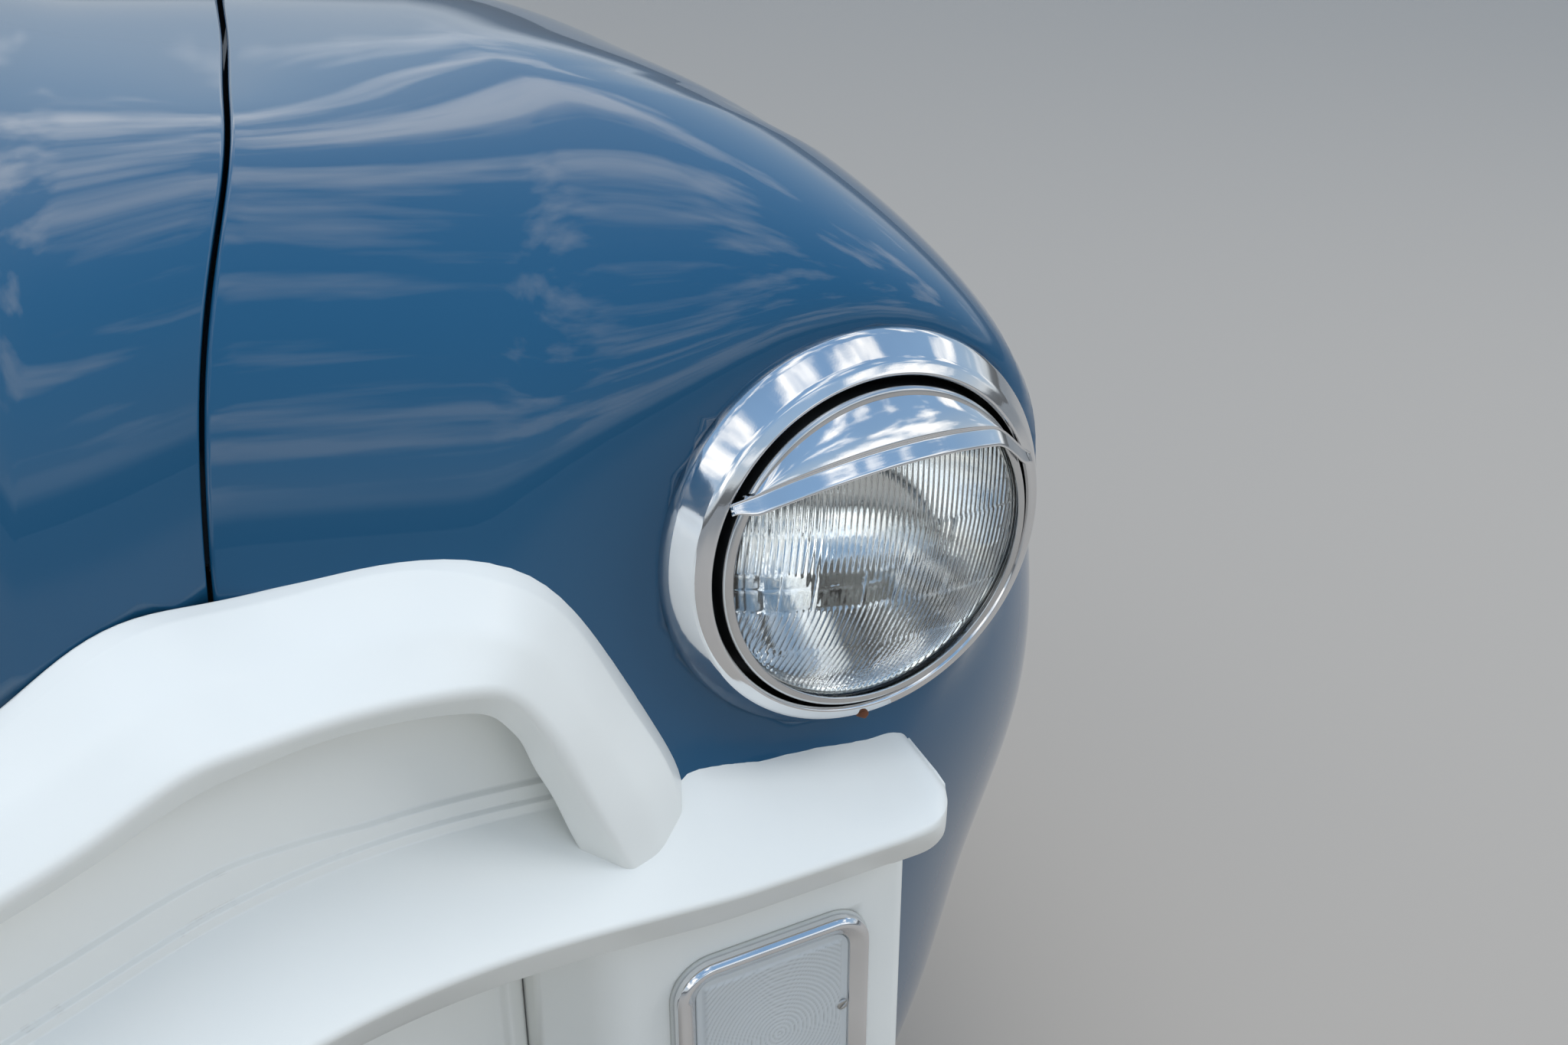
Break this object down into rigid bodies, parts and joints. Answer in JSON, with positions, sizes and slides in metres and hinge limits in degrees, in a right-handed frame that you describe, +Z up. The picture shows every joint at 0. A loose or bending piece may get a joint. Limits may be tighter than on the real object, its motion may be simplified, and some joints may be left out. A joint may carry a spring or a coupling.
{
  "type": "pickup truck front end",
  "caption": "Front end of a classic pickup truck: rounded fenders, bulged hinged hood, bow-shaped painted grille, round headlamps, parking lamps and the panels that carry them.",
  "frame": {"origin": "rear face of the cowl panel, at the centre of its four body bolts", "axes": "+X to the truck's left, +Y to the rear, +Z up; the truck drives towards -Y"},
  "size_m": [1.8302, 1.45, 1.1085],
  "materials": {
    "body_paint": "gloss",
    "grille_paint": "semi-gloss, worn",
    "chrome": "polished",
    "lamp_glass": "clear, fluted",
    "reflector": "bright",
    "chassis_black": "satin",
    "radiator_black": "matt",
    "hardware": "plated"
  },
  "bodies": {
    "front_end": {"cowl_panel": "body_paint", "fender_left": "body_paint", "fender_right": "body_paint", "inner_skirt_left": "chassis_black", "inner_skirt_right": "chassis_black", "radiator_support": "chassis_black", "radiator": "radiator_black", "latch_panel": "chassis_black", "grille_upper_bar": "grille_paint", "grille_cross_bar": "grille_paint", "grille_lower_panel": "grille_paint", "lamp_panel_left": "grille_paint", "lamp_panel_right": "grille_paint", "gravel_pan": "grille_paint", "hinge_base_left": "chassis_black", "hinge_base_right": "chassis_black", "headlamp_bucket_left": "chassis_black", "headlamp_bucket_right": "chassis_black", "headlamp_bezel_left": "chrome", "headlamp_bezel_right": "chrome", "headlamp_ring_left": "chrome", "headlamp_ring_right": "chrome", "headlamp_lens_left": "lamp_glass", "headlamp_lens_right": "lamp_glass", "headlamp_reflector_left": "reflector", "headlamp_reflector_right": "reflector", "headlamp_visor_left": "chrome", "headlamp_visor_right": "chrome", "parking_lamp_body_left": "chassis_black", "parking_lamp_body_right": "chassis_black", "parking_lamp_bezel_left": "chrome", "parking_lamp_bezel_right": "chrome", "parking_lamp_lens_left": "lamp_glass", "parking_lamp_lens_right": "lamp_glass"},
    "hood": {"hood_skin": "body_paint", "hood_brace": "chassis_black", "hinge_arm_left": "chassis_black", "hinge_arm_right": "chassis_black", "latch_bolt": "hardware"}
  },
  "joints": [
    {"name": "hood_hinge", "type": "hinge", "parent": "front_end", "child": "hood", "pos_m": [0, -0.06, 0.455], "axis": [-1, 0, 0], "range_deg": [0, 48]}
  ]
}
